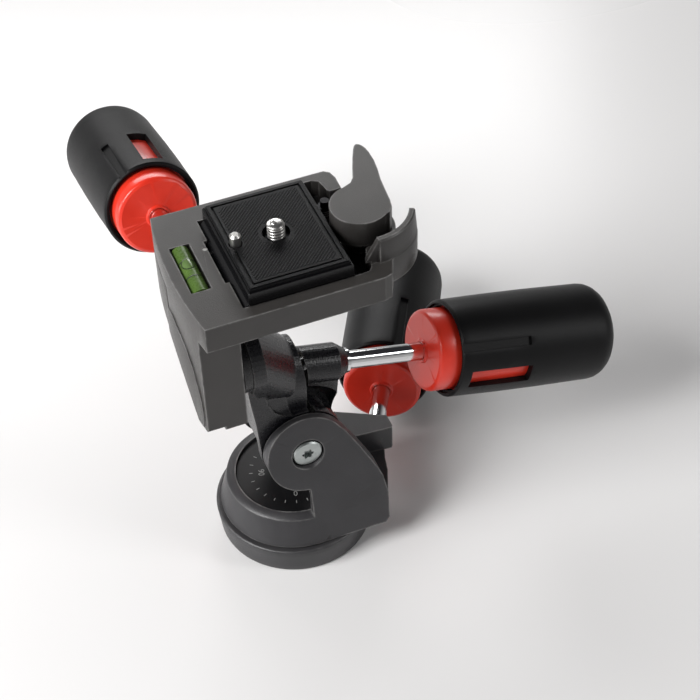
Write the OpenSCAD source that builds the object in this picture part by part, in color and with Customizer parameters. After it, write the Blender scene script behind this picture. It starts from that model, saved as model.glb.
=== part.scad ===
// Three way pan tilt head for a tripod: foot, panning housing, tilting arm, side tilting
// top with a quick release plate, and three lock handles whose grips slide in for carrying.
// Origin: centre of the foot's underside, on the pan axis. +Z up, +X towards the tilt handle.

/* [Foot] */
// Radius of the foot where it stands
foot_r = 30; // [28:0.5:33]
// Height of the foot
foot_h = 12.2; // [11:0.1:15]
// How much wider the foot is at its upper edge
foot_flare = 1.2; // [0:0.1:2]
// Radius of the tripod socket's wall (3/8 inch thread)
socket_r = 4.2; // [3.9:0.1:5]
// Radius of the steel bush that carries the tripod thread
bush_r = 9; // [7:0.5:10]
// Depth of the tripod socket
socket_depth = 10; // [8:0.5:10.5]
// Distance of the foot screws from the pan axis
foot_screw_pcd_r = 14; // [12:0.5:16]
// Radius of the foot screws' heads
foot_screw_head_r = 3.4; // [2.8:0.1:4]
// Thickness of the friction washer between foot and housing
pan_washer_t = 0.5; // [0.3:0.1:1]

/* [Column] */
// Radius of the post the housing turns on
column_r = 20; // [18:0.5:21]
// Radius of the post's head, which holds the housing down
column_head_r = 22.1; // [21.5:0.1:22.5]
// Thickness of the post's head
column_head_t = 2.2; // [1.5:0.1:3]
// Thickness of the degree dial
dial_t = 1; // [0.6:0.1:1.5]
// Running clearance of round turning fits, on the radius
run_gap = 0.05; // [0.03:0.01:0.09]

/* [Pan housing] */
// Radius of the housing at its lower edge
ring_r = 29.2; // [28.5:0.1:30]
// Radius of the housing at its upper edge
ring_top_r = 26; // [25.5:0.1:27]
// Height of the housing ring
ring_h = 13.4; // [12.5:0.1:15]
// Rise of the ring's top towards the dial
ring_lip = 0.8; // [0:0.1:1.2]
// Height of the tilt axis above the housing's underside
tilt_rise = 42.3; // [41:0.5:46]
// Radius of the fork's rounded ears
ear_r = 15.9; // [15:0.1:17]
// Half of the gap between the fork's cheeks
fork_half = 14.2; // [13.5:0.1:15]
// Thickness of the near cheek at the tilt axis
near_cheek_t = 5.8; // [5:0.1:7]
// Lean of the near cheek's outer face, run per unit of height
cheek_lean = 0.21; // [0.1:0.01:0.25]
// Thickness of the far cheek
far_cheek_t = 5; // [4:0.1:7]
// Height of the ledge beside the fork above the housing's underside
ledge_h = 12; // [11:0.1:13]
// Width of the brass shoe that the pan lock presses against the post
shoe_w = 3.6; // [3:0.2:3.8]

/* [Pan lock ear] */
// Height of the ear's top above the housing's underside
ear_block_top = 23.4; // [22:0.1:26]
// Direction of the pan lock screw, degrees from +X
pan_lock_az = 61.2; // [59:0.1:63]
// Droop of the pan lock screw towards its handle
pan_lock_droop = 4; // [2:0.1:6]
// Distance of the pan lock screw from the pan axis
pan_lock_off = 30.6; // [30:0.1:32]
// Height of the pan lock screw at the ear's outer face, above the housing's underside
pan_lock_h = 17.6; // [17:0.1:19]
// Distance of the ear's outer face from the pan axis, along the screw
pan_lock_face = 22.4; // [22:0.1:24]

/* [Tilt joint] */
// Radius of the arm's hub
hub_r = 16.2; // [15:0.1:16.8]
// Width of the hub's end flanges
hub_flange_w = 3.4; // [2:0.1:5]
// How far the hub is cut back between its flanges
hub_relief = 2.3; // [1:0.1:3]
// Thickness of the two thrust washers
tilt_washer_t = 0.6; // [0.4:0.1:1]
// Radius of the steel sleeve the arm clamps on
sleeve_r = 8; // [7:0.5:9]
// Radius of the tilt bolt's shank
tilt_bolt_r = 3; // [2.5:0.5:4]
// Radius of the tilt bolt's head
tilt_head_r = 5.85; // [5.4:0.05:6.4]
// Thickness of the tilt bolt's head
tilt_head_t = 2.6; // [2:0.1:3]
// Depth of the counterbore over the bolt's head
tilt_head_sink = 2.9; // [2.7:0.1:3.3]

/* [Arm] */
// Height of the tilt lock screw's line over the tilt axis, on the tilt axis plane
tilt_lock_rise = 27.8; // [27:0.1:29]
// Droop of the tilt lock screw towards its handle
tilt_lock_droop = 13.3; // [11:0.1:15]
// Distance of the arm's outer lock face from the tilt axis, along X
tilt_lock_x = 22.6; // [21:0.1:24]
// Radius of the arm's lock ear on the handle side
lock_ear_r = 7.5; // [7:0.1:8.5]
// Radius of the arm's thick ear on the far side of the cut
thick_ear_r = 12.5; // [11.5:0.1:13.5]
// Place of the arm's clamp cut along X
arm_slit_x = 3.4; // [2.5:0.1:4]
// Width of the arm's clamp cut
arm_slit_w = 2.6; // [1:0.1:3.5]

/* [Side tilt joint] */
// Height of the side tilt axis over the tilt axis
side_rise = 45.4; // [45:0.1:47]
// Place of the side tilt axis along Y
side_y = -4; // [-6:0.5:-2]
// Radius of the arm's side tilt flange
side_flange_r = 14.8; // [14:0.1:15.5]
// Radius of the arm's side tilt spindle
spindle_r = 9; // [8:0.5:10]
// Gap between the arm's flange and the limb, filled by the friction washer
side_washer_t = 1.5; // [1:0.1:2]
// Place of the arm's flange along X
flange_x = -21.1; // [-21.5:0.1:-20.5]

/* [Limb and platform] */
// Place of the limb's near face along Y
limb_near = -22; // [-23:0.5:-21]
// Height of the limb's lowest edge over the tilt axis
limb_foot = 28.2; // [28.2:0.1:29]
// Step of the limb's lower edge, under the cover
limb_step = 1.6; // [1:0.1:2.5]
// How far the limb's cover stands proud
cover_t = 0.4; // [0.2:0.1:1]
// Height of the platform's underside over the tilt axis
deck_rise = 75.8; // [75:0.1:78]
// Thickness of the platform
deck_t = 10.7; // [10:0.1:13]
// Place of the platform's near edge along Y
deck_near = -28.6; // [-30:0.1:-28]
// Place of the platform's far edge along Y
deck_far = 33.2; // [32:0.1:34]
// Place of the platform's left edge along X, at its widest
deck_left = -39.1; // [-40.5:0.1:-38.8]
// Place of the platform's right edge along X
deck_right = 32.5; // [31:0.1:34]

/* [Side lock] */
// Droop of the side lock screw towards its handle
side_lock_droop = 14.5; // [12:0.5:17]
// Place of the side lock screw along X
side_lock_x = -24.5; // [-26:0.1:-24]
// Place of the side lock ear's face along Y
side_lock_y = 36.9; // [36:0.1:39]
// Depth of the side lock screw at the ear's face, under the platform
side_lock_drop = 11.9; // [10.8:0.1:12.8]
// Radius of the side lock ear
side_ear_r = 8.5; // [8:0.1:9]

/* [Quick release] */
// Width of the plate across the jaws, at its top
plate_w = 38; // [36:0.5:40]
// Length of the plate
plate_l = 48.6; // [46:0.2:50]
// Height of the pad's top over the platform
plate_proud = 7.2; // [6.5:0.1:8]
// Thickness of the rubber pad
pad_t = 1.4; // [1:0.1:2]
// Depth of the seat in the platform
seat_depth = 3.8; // [3:0.1:4.5]
// How far the plate's foot reaches under each jaw
jaw_grip = 0.8; // [0.5:0.1:1.2]
// Clearance round the plate in its seat
plate_gap = 0.2; // [0.1:0.05:0.4]
// Radius of the camera screw (1/4 inch thread)
camera_r = 3.175; // [2.9:0.025:3.4]
// How far the camera screw stands above the pad
camera_proud = 4.6; // [4:0.1:6]
// Radius of the camera screw's head
camera_head_r = 8; // [6.5:0.5:9]
// Radius of the anti-twist pin
video_pin_r = 2; // [1.5:0.1:2.3]
// Distance of the anti-twist pin from the camera screw
video_pin_off = 14.8; // [14:0.1:15.2]
// How far the anti-twist pin stands above the pad
video_pin_proud = 4.3; // [3.5:0.1:4.6]

/* [Release lever] */
// Place of the lever's pivot along X
lever_x = 30.5; // [29.5:0.1:32]
// Radius of the lever's round base
lever_r = 11; // [10.5:0.1:11.2]
// Thickness of the lever
lever_t = 10.2; // [9:0.1:11]
// Reach of the lever's tip from its pivot along Y
lever_reach = 31.4; // [29:0.1:33]
// Inner radius of the guard round the lever
guard_r = 17.2; // [16.9:0.1:18]
// Thickness of the guard
guard_t = 3; // [2.5:0.1:4]
// Height of the guard over the platform's top
guard_h = 9.5; // [8:0.1:10]
// Depth of the well under the lever
well_depth = 7; // [6:0.1:7.5]

/* [Level] */
// Radius of the level's vial
vial_r = 3.5; // [3:0.1:3.8]
// Length of the level's vial
vial_l = 24; // [20:0.5:25]

/* [Lock handles] */
// Radius of the handles' rods
rod_r = 3.5; // [3:0.1:4]
// Radius of the threads at the rods' inner ends
thread_r = 2.9; // [2.5:0.1:3]
// Free rod between the head and the red hub, side and tilt handles
free_rod = 33.4; // [32:0.1:36]
// Free rod between the head and the red hub, pan handle
free_rod_pan = 21; // [19:0.1:26]
// Radius of the red hub
core_r = 15.9; // [15:0.1:16.2]
// How far the red hub stands out of the grip
core_proud = 8; // [7:0.1:9]
// Radius of the grip at its mouth
grip_r = 18.9; // [18.5:0.1:20]
// Extra radius of the grip where it is fullest
grip_swell = 0.5; // [0:0.1:1]
// Length of the grip
grip_l = 70; // [66:0.5:76]
// Wall of the grip
grip_wall = 2.3; // [1.8:0.1:2.5]
// Rounding of the grip's end
grip_round = 7.5; // [5:0.5:9]
// Length of the window in the grip
window_l = 26.2; // [20:0.2:28]
// Width of the window in the grip
window_w = 8; // [6:0.2:9]
// Distance of the window from the grip's mouth
window_start = 4.5; // [4:0.1:9]

/* [Hidden] */
$fn = 96;

cut = 1;                                   // how far a cutting solid runs past a face
slip = 0.1;                                // gap between flat faces that slide on each other
loose = 0.3;                               // gap round a piece that lies in a pocket

// Heights, from the table up
pan_z = foot_h + pan_washer_t;             // housing's underside
ring_z = pan_z + ring_h;                   // housing ring's outer top edge
tilt_z = pan_z + tilt_rise;                // tilt axis
side_z = tilt_z + side_rise;               // side tilt axis
deck_z = tilt_z + deck_rise;               // platform's underside
top_z = deck_z + deck_t;                   // platform's top
seat_z = top_z - seat_depth;               // floor of the plate's seat
pad_z = top_z + plate_proud;               // top of the rubber pad
ear_z = pan_z + ear_block_top;             // top of the pan lock ear

// Column and dial
head_z = pan_z + ring_h - column_head_t - dial_t - 0.4;  // underside of the post's head
head_gap = 0.4;                            // gap round the post's head in the housing
bush_flange_r = bush_r + 2;
bush_flange_t = 2;
foot_screw_r = 2;
foot_screw_sink = 4.2;
foot_screw_l = foot_h + 4;

// Rims of the housing's edges
edge = 0.6;

module base_disc() {
    color([0.30, 0.30, 0.32]) difference() {
        rotate_extrude() polygon([
            [0, 0], [foot_r - edge, 0], [foot_r, edge],
            [foot_r + foot_flare, foot_h - edge], [foot_r + foot_flare - edge, foot_h], [0, foot_h]
        ]);
        translate([0, 0, -cut]) cylinder(r = bush_r, h = foot_h + 2 * cut);
        translate([0, 0, foot_h - bush_flange_t]) cylinder(r = bush_flange_r, h = bush_flange_t + cut);
        for (a = [30, 150, 270]) rotate(a) translate([foot_screw_pcd_r, 0, -cut]) {
            cylinder(r = foot_screw_r, h = foot_h + 2 * cut);
            cylinder(r = foot_screw_head_r + loose, h = foot_screw_sink + cut);
        }
    }
}

module thread_bushing() {
    color([0.62, 0.62, 0.60]) difference() {
        union() {
            cylinder(r = bush_r, h = foot_h);
            translate([0, 0, foot_h - bush_flange_t]) cylinder(r = bush_flange_r, h = bush_flange_t);
        }
        translate([0, 0, -cut]) cylinder(r = socket_r, h = socket_depth + cut);
    }
}

module base_screws() {
    color([0.25, 0.25, 0.26])
    for (a = [30, 150, 270]) rotate(a) translate([foot_screw_pcd_r, 0, 0]) difference() {
        union() {
            translate([0, 0, foot_screw_sink - 3]) cylinder(r = foot_screw_head_r, h = 3);
            translate([0, 0, foot_screw_sink]) cylinder(r = foot_screw_r, h = foot_screw_l - foot_screw_sink);
        }
        translate([0, 0, foot_screw_sink - 3 - cut]) cylinder(r = 1.7, h = 1.6 + cut, $fn = 6);
    }
}

module pan_column() {
    color([0.55, 0.55, 0.56]) difference() {
        union() {
            translate([0, 0, foot_h]) cylinder(r = column_r, h = head_z - foot_h + column_head_t);
            translate([0, 0, head_z]) cylinder(r = column_head_r, h = column_head_t);
        }
        for (a = [30, 150, 270]) rotate(a) translate([foot_screw_pcd_r, 0, foot_h - cut])
            cylinder(r = foot_screw_r, h = foot_screw_l - foot_h + cut);
    }
}

module dial_plate() {
    color([0.05, 0.05, 0.06]) translate([0, 0, head_z + column_head_t])
        cylinder(r = column_head_r, h = dial_t);
}

module pan_washer() {
    color([0.04, 0.04, 0.04]) translate([0, 0, foot_h]) difference() {
        cylinder(r = ring_r - edge, h = pan_washer_t);
        translate([0, 0, -cut]) cylinder(r = column_r + loose, h = pan_washer_t + 2 * cut);
    }
}

// ---- Pan housing ----

// Plan of the housing's foot beside the ring, which carries the cheek and the lock ear
right_x = ring_top_r + 15.5;               // outer corner of the lock ear
near_y = -fork_half - near_cheek_t - cheek_lean * tilt_rise;   // foot of the near cheek
ledge_plan = [
    [0, near_y], [27.4, near_y], [29.6, near_y + 2.6],
    [34.6, -13.9], [36, -8], [39.5, 1.6], [37, 5.5], [22, 14], [0, 20]
];

// Outline of the near cheek in XZ, heights from the housing's underside
cheek_right = 29.8;
cheek_plan = [
    [-1, ring_h - 0.5], [-1, tilt_rise - 16.5], [-3.4, tilt_rise - 13.2], [-9.5, tilt_rise - 7.5],
    [0, tilt_rise], [13, tilt_rise + 9], [15.6, tilt_rise + 5.6], [20.6, tilt_rise - 3.4],
    [24, tilt_rise - 10.2], [26.8, tilt_rise - 16], [28.5, tilt_rise - 20.2],
    [cheek_right, ring_h + 0.6], [29.2, 2], [27.6, 0], [-1, 0]
];
far_plan = [
    [-ear_r, tilt_rise], [-8.4, tilt_rise - 15], [-3, 0], [20, 0], [20, ring_h], [ear_r, tilt_rise]
];

module near_cheek() {
    intersection() {
        union() {
            translate([0, -fork_half, pan_z]) rotate([90, 0, 0]) linear_extrude(height = 30) union() {
                polygon(cheek_plan);
                translate([0, tilt_rise]) circle(r = ear_r);
            }
            translate([0, 0, pan_z]) linear_extrude(height = ledge_h) polygon(ledge_plan);
        }
        // outer face, leaning in towards the top
        translate([-40, 0, 0]) rotate([90, 0, 90]) linear_extrude(height = 90) polygon([
            [-fork_half - near_cheek_t - cheek_lean * tilt_z, 0],
            [60, 0], [60, 2 * tilt_z],
            [-fork_half - near_cheek_t + cheek_lean * tilt_z, 2 * tilt_z]
        ]);
    }
}

module pan_lock_frame() {
    rotate(pan_lock_az)
        translate([pan_lock_face, -pan_lock_off, pan_z + pan_lock_h])
        rotate([0, 90 + pan_lock_droop, 0]) children();
}

lock_thread_pan = 7;                       // screw length inside the ear
shoe_z = head_z - 1.6;                     // underside of the brass shoe
shoe_bar_t = 4.4;                          // thickness of its bar
shoe_out_r = pan_lock_off + 6.4;           // its outer end
shoe_step_r = pan_lock_off + 2.2;          // where it steps up to the screw
shoe_top = pan_z + pan_lock_h - thread_r + 0.25;  // its top, just under the screw

module pan_lock_ear() {
    translate([0, 0, pan_z + ledge_h - 0.5]) intersection() {
        linear_extrude(height = ear_block_top - ledge_h + 0.5) polygon([
            [right_x - 15.3, -2.3], [right_x - 0.6, -3.5], [right_x, -2.6], [right_x, 12],
            [10, 20], [15, 10]
        ]);
        translate([0, 0, -pan_z - ledge_h + 0.5]) pan_lock_frame() translate([-60, -60, -80]) cube([120, 120, 80]);
    }
}

module pan_body() {
    color([0.29, 0.29, 0.31]) difference() {
        union() {
            translate([0, 0, pan_z]) rotate_extrude() polygon([
                [column_r - 2, 0], [ring_r - edge, 0], [ring_r, edge],
                [ring_top_r + 0.2, ring_h - edge], [ring_top_r - edge, ring_h],
                [column_head_r + head_gap, ring_h + ring_lip], [column_r - 2, ring_h + ring_lip]
            ]);
            near_cheek();
            // far cheek
            translate([0, fork_half + far_cheek_t, pan_z]) rotate([90, 0, 0])
                linear_extrude(height = far_cheek_t) union() {
                    polygon(far_plan);
                    translate([0, tilt_rise]) circle(r = ear_r);
                }
            pan_lock_ear();
        }
        // bore for the post and recess for its head
        translate([0, 0, pan_z - cut]) cylinder(r = column_r + run_gap, h = ring_h + ring_lip + 2 * cut);
        translate([0, 0, head_z - slip]) cylinder(r = column_head_r + head_gap, h = ring_h);
        // room for the arm's hub between the cheeks
        translate([0, fork_half, tilt_z]) rotate([90, 0, 0]) cylinder(r = hub_r + 1.5, h = 2 * fork_half);
        // pocket for the brass shoe
        pan_shoe_solid(slip, shoe_top + 1.2);
        // tilt bolt, its counterbore and its nut
        translate([0, fork_half + far_cheek_t + cut, tilt_z]) rotate([90, 0, 0])
            cylinder(r = tilt_bolt_r + run_gap, h = 2 * fork_half + far_cheek_t + near_cheek_t + 5);
        translate([0, -fork_half - near_cheek_t + tilt_head_sink, tilt_z]) rotate([90, 0, 0])
            cylinder(r = tilt_head_r + 0.5, h = 10);
        translate([0, fork_half + far_cheek_t + cut, tilt_z]) rotate([90, 0, 0])
            cylinder(r = 5.8, h = 3.2 + cut, $fn = 6);
        // pan lock screw, threaded into the ear
        pan_lock_frame() translate([0, 0, -lock_thread_pan - 0.2])
            cylinder(r = thread_r + run_gap, h = lock_thread_pan + 0.2 + cut);
    }
}

module pan_shoe_solid(grow, top) {
    translate([0, shoe_w / 2 + grow, 0]) rotate([90, 0, 0]) linear_extrude(height = shoe_w + 2 * grow) polygon([
        [column_head_r - 1, shoe_z - grow], [shoe_out_r + grow, shoe_z - grow], [shoe_out_r + grow, top],
        [shoe_step_r - grow, top], [shoe_step_r - grow, shoe_z + shoe_bar_t + grow],
        [column_head_r - 1, shoe_z + shoe_bar_t + grow]
    ]);
}

module pan_lock_shoe() {
    color([0.72, 0.58, 0.28]) difference() {
        pan_shoe_solid(0, shoe_top);
        translate([0, 0, head_z - 10]) cylinder(r = column_head_r + 0.08, h = 20);
    }
}

module tilt_axle() {
    color([0.66, 0.66, 0.66]) translate([0, fork_half, tilt_z]) rotate([90, 0, 0]) difference() {
        cylinder(r = sleeve_r, h = 2 * fork_half);
        translate([0, 0, -cut]) cylinder(r = tilt_bolt_r + run_gap, h = 2 * fork_half + 2 * cut);
    }
}

// face of the counterbore under the tilt bolt's head
head_seat_y = -fork_half - near_cheek_t + tilt_head_sink;
nut_y = fork_half + far_cheek_t - 3.2;

module tilt_bolt() {
    color([0.74, 0.76, 0.76]) translate([0, head_seat_y, tilt_z]) rotate([90, 0, 0]) difference() {
        union() {
            rotate_extrude() polygon([
                [0, 0], [tilt_head_r, 0], [tilt_head_r, tilt_head_t - 0.5],
                [tilt_head_r - 0.5, tilt_head_t], [0, tilt_head_t]
            ]);
            translate([0, 0, -(nut_y + 3 - head_seat_y)]) cylinder(r = tilt_bolt_r, h = nut_y + 3 - head_seat_y);
        }
        // six lobed socket
        translate([0, 0, tilt_head_t - 1.8]) linear_extrude(height = 3) union() {
            circle(r = 1.7);
            for (a = [0 : 60 : 300]) rotate(a) translate([1.75, 0]) circle(r = 0.6);
        }
    }
}

module tilt_nut() {
    color([0.62, 0.63, 0.63]) translate([0, nut_y, tilt_z]) rotate([-90, 0, 0]) difference() {
        cylinder(r = 5.75, h = 3, $fn = 6);
        translate([0, 0, -cut]) cylinder(r = tilt_bolt_r, h = 3 + 2 * cut);
    }
}

module tilt_washers() {
    color([0.06, 0.06, 0.06])
    for (y = [-fork_half, fork_half - tilt_washer_t])
        translate([0, y + tilt_washer_t, tilt_z]) rotate([90, 0, 0]) difference() {
            cylinder(r = hub_r - 1, h = tilt_washer_t);
            translate([0, 0, -cut]) cylinder(r = sleeve_r + 0.1, h = tilt_washer_t + 2 * cut);
        }
}

// bright collar between a lock screw's ear and its rod's shoulder
collar_r = 4.7;
collar_t = 1.4;

module lock_collar() {
    color([0.75, 0.76, 0.77]) difference() {
        cylinder(r = collar_r, h = collar_t);
        translate([0, 0, -cut]) cylinder(r = thread_r + 0.1, h = collar_t + 2 * cut);
    }
}

// ---- Arm ----

hub_half = fork_half - tilt_washer_t - slip;         // half the arm hub's width
limb_x = flange_x - side_washer_t - slip;             // limb's inner face
limb_out_x = deck_left;                               // limb's outer face, at its widest
limb_t = limb_x - limb_out_x;
spindle_end_x = limb_out_x + 6;                       // end of the spindle
tilt_lock_tan = tan(tilt_lock_droop);

module tilt_lock_frame() {
    translate([tilt_lock_x, 0, tilt_z + tilt_lock_rise - tilt_lock_x * tilt_lock_tan])
        rotate([0, 90 + tilt_lock_droop, 0]) children();
}

// distance along the tilt lock screw from its face back to the plane x
function tilt_back(x) = (tilt_lock_x - x) / cos(tilt_lock_droop);

module hub_core(r, half) {
    translate([0, half, tilt_z]) rotate([90, 0, 0]) cylinder(r = r, h = 2 * half);
}

// Side view of the arm's edge ribs and web (X, height over the tilt axis)
rib_w = 4;
rib_plan = [
    [-hub_r + 0.2, 0], [-17.3, 17.4], [-18.3, 25], [-19.2, 34], [-19.2, side_rise - 3],
    [-13.6, side_rise + 2], [-13.6, 41], [-13, 31], [-12, 25.5], [-9.8, 20.5], [-6.8, 17.7],
    [-3, hub_r], [0, 0]
];
web_plan = [
    [-hub_r + 1.2, 0], [-16.3, 17.4], [-17.3, 25], [-18.2, 34], [-18.2, side_rise],
    [-8, side_rise], [-4, 20], [0, 0]
];

// A ring about the tilt axis, hollowing the arm above its near and far flanges
module arm_pocket(s) {
    intersection() {
        translate([0, 0, tilt_z]) rotate([-90 * s, 0, 0]) rotate_extrude() polygon([
            [hub_r - hub_relief, 1], [hub_r + 0.2, 1],
            [pocket_r, hub_half - hub_flange_w], [hub_r - hub_relief, hub_half - hub_flange_w]
        ]);
        translate([-11, -40, tilt_z]) cube([60, 80, 60]);
    }
}
pocket_r = 26.5;

module arm_solid() {
    // hub with its two end flanges
    hub_core(hub_r - hub_relief, hub_half);
    for (s = [-1, 1]) translate([0, s > 0 ? hub_half : hub_flange_w - hub_half, tilt_z])
        rotate([90, 0, 0]) cylinder(r = hub_r, h = hub_flange_w);
    // thick ear and neck, left of the clamp cut
    intersection() {
        union() {
            hull() {
                tilt_lock_frame() translate([0, 0, -tilt_back(-13)])
                    cylinder(r = thick_ear_r, h = tilt_back(-13) - tilt_back(arm_slit_x), $fn = 48);
                translate([0, 0, -1]) hub_core(hub_r - hub_relief, hub_half - hub_flange_w - 1, $fn = 48);
            }
            hull() {
                tilt_lock_frame() translate([0, 0, -tilt_back(-13)])
                    cylinder(r = thick_ear_r, h = 12, $fn = 48);
                translate([flange_x + 3, side_y, side_z]) rotate([0, 90, 0])
                    cylinder(r = side_flange_r, h = 5, $fn = 48);
            }
            // edge ribs along both faces, from the hub up to the side tilt flange
            for (s = [-1, 1]) translate([0, s > 0 ? hub_half : rib_w - hub_half, tilt_z])
                rotate([90, 0, 0]) linear_extrude(height = rib_w) polygon(rib_plan);
            // web between the ribs
            translate([0, hub_half - 1, tilt_z]) rotate([90, 0, 0])
                linear_extrude(height = 2 * hub_half - 2) polygon(web_plan);
        }
        translate([-60, -40, 0]) cube([60 + arm_slit_x, 80, 200]);
    }
    // lock ear and its web, right of the clamp cut
    intersection() {
        hull() {
            tilt_lock_frame() translate([0, 0, -tilt_back(arm_slit_x)])
                cylinder(r = lock_ear_r, h = tilt_back(arm_slit_x) - 4, $fn = 48);
            tilt_lock_frame() translate([0, 0, -2]) cylinder(r = collar_r + 0.4, h = 2, $fn = 48);
        }
        translate([arm_slit_x, -40, 0]) cube([60, 80, 200]);
    }
    intersection() {
        hull() {
            tilt_lock_frame() translate([0, 0, -tilt_back(arm_slit_x)])
                cylinder(r = lock_ear_r - 0.6, h = tilt_back(arm_slit_x) - 4.6, $fn = 48);
            hub_core(hub_r + 0.4, lock_ear_r - 2.5, $fn = 48);
        }
        translate([arm_slit_x, -40, 0]) cube([60, 80, 200]);
    }
}

module arm() {
    color([0.09, 0.09, 0.10]) difference() {
        union() {
            arm_solid();
            // side tilt flange and spindle
            translate([flange_x, side_y, side_z]) rotate([0, 90, 0])
                cylinder(r = side_flange_r - 1, h = 4);
            translate([spindle_end_x, side_y, side_z]) rotate([0, 90, 0])
                cylinder(r = spindle_r, h = flange_x - spindle_end_x + 1);
        }
        for (s = [-1, 1]) arm_pocket(s);
        // bore for the sleeve
        translate([0, fork_half, tilt_z]) rotate([90, 0, 0]) cylinder(r = sleeve_r + run_gap, h = 2 * fork_half);
        // clamp cut, from the bore up
        translate([arm_slit_x, -40, tilt_z]) cube([arm_slit_w, 80, 80]);
        // tilt lock screw: clear through the lock ear, insert in the thick ear
        tilt_lock_frame() translate([0, 0, -tilt_back(arm_slit_x) - lock_insert_l - 4])
            cylinder(r = thread_r + 0.2, h = tilt_back(arm_slit_x) + lock_insert_l + 4 + cut);
        tilt_lock_frame() translate([0, 0, -tilt_back(arm_slit_x) - lock_insert_l])
            cylinder(r = lock_insert_r, h = lock_insert_l + cut);
        // thread for the retaining screw in the spindle's end
        translate([spindle_end_x - cut, side_y, side_z]) rotate([0, 90, 0])
            cylinder(r = retain_screw_r, h = retain_screw_l + cut);
    }
}

lock_insert_r = 5;
lock_insert_l = 9;
retain_screw_r = 2.4;
retain_screw_l = 12;
retainer_r = spindle_r + 2.4;
retainer_t = 1.2;

module lock_insert() {
    color([0.70, 0.58, 0.30]) difference() {
        cylinder(r = lock_insert_r, h = lock_insert_l);
        translate([0, 0, -cut]) cylinder(r = thread_r + run_gap, h = lock_insert_l + 2 * cut);
    }
}

module tilt_lock_insert() {
    tilt_lock_frame() translate([0, 0, -tilt_back(arm_slit_x) - lock_insert_l]) lock_insert();
}

module side_washer() {
    color([0.05, 0.05, 0.05]) translate([flange_x - side_washer_t, side_y, side_z])
        rotate([0, 90, 0]) difference() {
            cylinder(r = side_flange_r - 1.4, h = side_washer_t);
            translate([0, 0, -cut]) cylinder(r = spindle_r, h = side_washer_t + 2 * cut);
        }
}

module side_retainer() {
    color([0.70, 0.71, 0.72]) translate([spindle_end_x - retainer_t, side_y, side_z])
        rotate([0, 90, 0]) difference() {
            cylinder(r = retainer_r, h = retainer_t);
            translate([0, 0, -cut]) cylinder(r = retain_screw_r, h = retainer_t + 2 * cut);
        }
}

module side_retainer_screw() {
    color([0.30, 0.30, 0.31]) translate([spindle_end_x - retainer_t, side_y, side_z])
        rotate([0, 90, 0]) difference() {
            union() {
                translate([0, 0, -2.4]) cylinder(r = 4.4, h = 2.4);
                cylinder(r = retain_screw_r, h = retainer_t + retain_screw_l);
            }
            translate([0, 0, -2.4 - cut]) cylinder(r = 2, h = 1.5 + cut, $fn = 6);
        }
}

// ---- Top: limb, platform, guard ----

// Side view of the limb (Y, height over the tilt axis), a round foot about the side tilt axis
limb_round = side_rise - limb_foot;        // radius of the limb's rounded foot
limb_far = deck_far;
module limb_plan(inset) {
    r = limb_round - inset;
    union() {
        translate([side_y, side_rise]) circle(r = r);
        polygon([
            [limb_near, deck_rise + 1], [limb_near, limb_foot + 1 + inset],
            [limb_near + 1, limb_foot + inset], [side_y, limb_foot + inset],
            [side_y + r * cos(-12), side_rise + r * sin(-12)],
            [side_lock_y - 18, side_rise + 6 + inset], [limb_far, side_rise + 7 + inset], [limb_far, deck_rise + 1]
        ]);
    }
}

// arc of the platform's left edge
left_bulge_r = 165;
module left_bulge(grow) {
    translate([deck_left + left_bulge_r, 1]) circle(r = left_bulge_r + grow, $fn = 360);
}

// the limb's outer skin: the same arc, falling away below a slanted edge
skin_slope = 35.2;                         // slant of that edge in YZ
skin_fall = 0.2;                           // how fast the face falls away below it
module limb_skin(grow) {
    difference() {
        linear_extrude(height = top_z - 1) left_bulge(grow);
        translate([deck_left - grow, limb_near + 1, tilt_z + limb_foot + 2.8])
            rotate([skin_slope - 90, 0, 0]) linear_extrude(height = 160, center = true)
            polygon([[-9, 0], [0, 0], [8, 8 / skin_fall], [-9, 8 / skin_fall]]);
    }
}
module deck_plan() {
    intersection() {
        left_bulge(0);
        union() {
            polygon([
                [-60, deck_near], [deck_right - 4, deck_near], [deck_right - 1, deck_near + 1],
                [deck_right + 0.4, deck_near + 4], [deck_right + 3, -19], [40, -8], [deck_right + 4, 6],
                [deck_right, 21.6], [deck_right + 0.3, deck_far - 5], [deck_right - 0.5, deck_far - 1.6],
                [deck_right - 2.5, deck_far], [-60, deck_far]
            ]);
            translate([lever_x, lever_y]) circle(r = lever_r + 1.5);
            guard_sector(guard_r + guard_t, 0);
        }
    }
}

lever_y = -1;
guard_a0 = -92;
guard_a1 = -26;
module guard_sector(r_out, r_in) {
    translate([lever_x, lever_y]) intersection() {
        difference() {
            circle(r = r_out);
            circle(r = r_in);
        }
        polygon(concat([[0, 0]], [for (i = [0 : 6]) let (a = guard_a0 + (guard_a1 - guard_a0) * i / 6)
            [2 * r_out * cos(a), 2 * r_out * sin(a)]]));
    }
}

// plate seat and jaws
plate_half = plate_w / 2;
foot_half = plate_half + 2.9;              // half width of the plate's foot
jaw_x = foot_half - jaw_grip;              // edge of the fixed jaw's lip
plate_y = 0.3;                             // plate's centre along Y
plate_cut = 0.9;                           // how far the plate's foot is cut back at each end
end_gap = 0.4;                             // gap between the plate's foot and the seat's near wall
seat_near = plate_y - plate_l / 2 + plate_cut - end_gap;  // near wall of the seat
seat_far = plate_y + plate_l / 2 + 0.5;    // far wall of the seat
foot_t = 1.6;                              // straight edge of the plate's foot
notch_near = -9.5;                         // drop-in notch in the fixed jaw
notch_l = 23.5;
well_floor = top_z - well_depth;
well_x = lever_x - lever_r - 0.5;
hub_low_r = 7;                             // the lever's boss in the well
cam_h = 3;

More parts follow.
